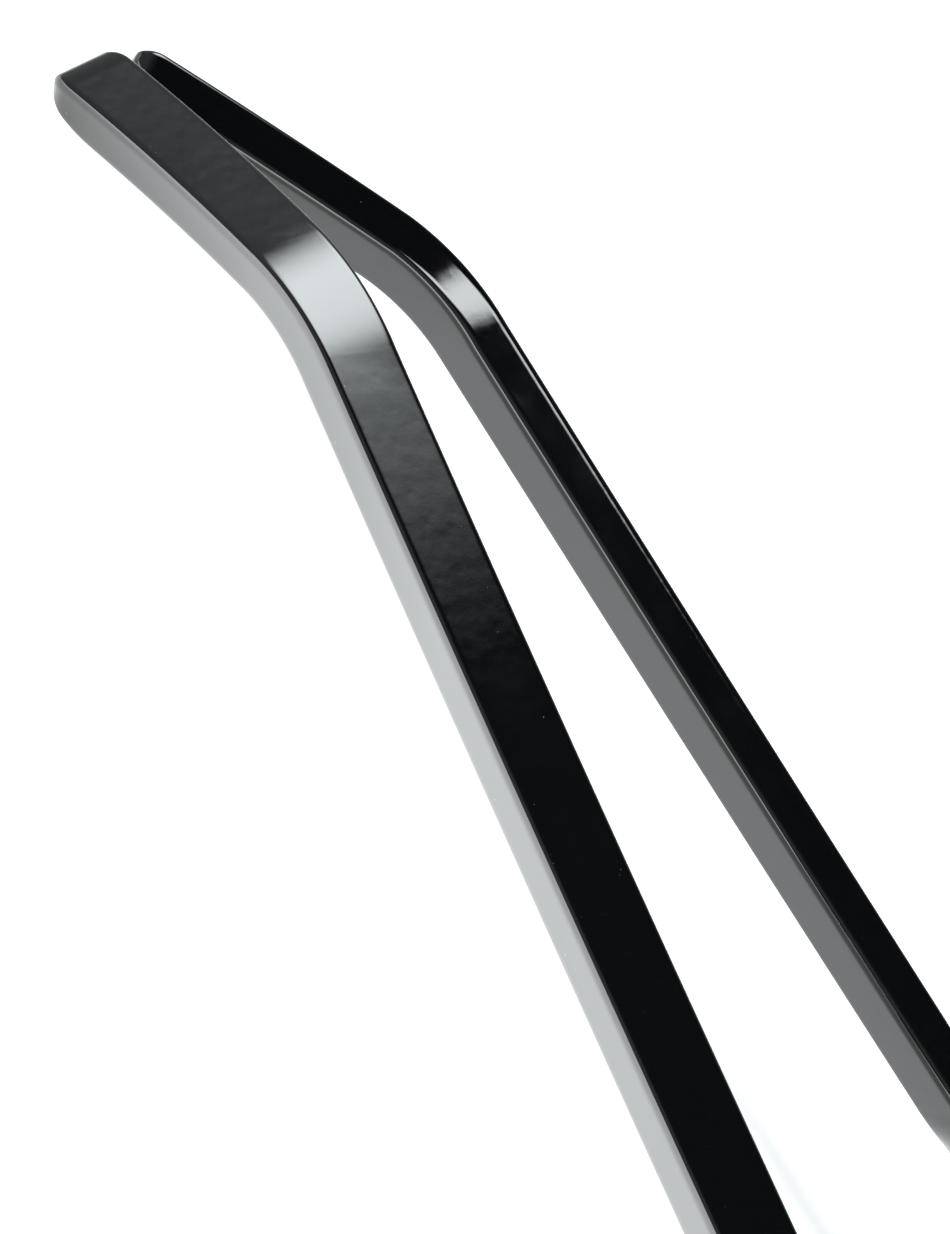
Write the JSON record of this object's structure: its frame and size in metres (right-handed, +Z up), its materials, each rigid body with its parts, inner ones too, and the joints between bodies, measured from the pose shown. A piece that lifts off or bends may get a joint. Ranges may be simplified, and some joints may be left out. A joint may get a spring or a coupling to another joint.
{
  "type": "eyeglasses",
  "caption": "Eyeglasses with a thick glossy black acetate front, flat lenses, chunky leaning-section temples with bent tips, and barrel hinges that let the temples swing.",
  "frame": {"origin": "under the middle of the whole object, on the plane it rests on", "axes": "+Z up, the front faces -Y, the wearer's right side is -X"},
  "size_m": [0.1258, 0.1666, 0.0357],
  "materials": {
    "acetate": "polished black acetate",
    "lens": "clear, faint grey tint",
    "steel": "satin nickel silver"
  },
  "bodies": {
    "front": {"front_frame": "acetate", "lens_right": "lens", "lens_left": "lens", "nose_pad_right": "acetate", "nose_pad_left": "acetate", "front_hinge_right": "steel", "front_hinge_left": "steel", "hinge_screw_right": "steel", "hinge_screw_left": "steel", "front_rivet_right_lower": "steel", "front_rivet_right_upper": "steel", "front_rivet_left_lower": "steel", "front_rivet_left_upper": "steel"},
    "temple_right": {"temple_right": "acetate", "temple_hinge_right": "steel", "core_wire_right": "steel", "temple_rivet_right_near": "steel", "temple_rivet_right_far": "steel"},
    "temple_left": {"temple_left": "acetate", "temple_hinge_left": "steel", "core_wire_left": "steel", "temple_rivet_left_near": "steel", "temple_rivet_left_far": "steel"}
  },
  "joints": [
    {"name": "right_temple_fold", "type": "hinge", "parent": "front", "child": "temple_right", "pos_m": [-0.0526, -0.06839, 0.01719], "axis": [0, 0, -1], "range_deg": [-14.5, 1]},
    {"name": "left_temple_fold", "type": "hinge", "parent": "front", "child": "temple_left", "pos_m": [0.0526, -0.06839, 0.01719], "axis": [0, 0, 1], "range_deg": [-14.4, 1]}
  ]
}
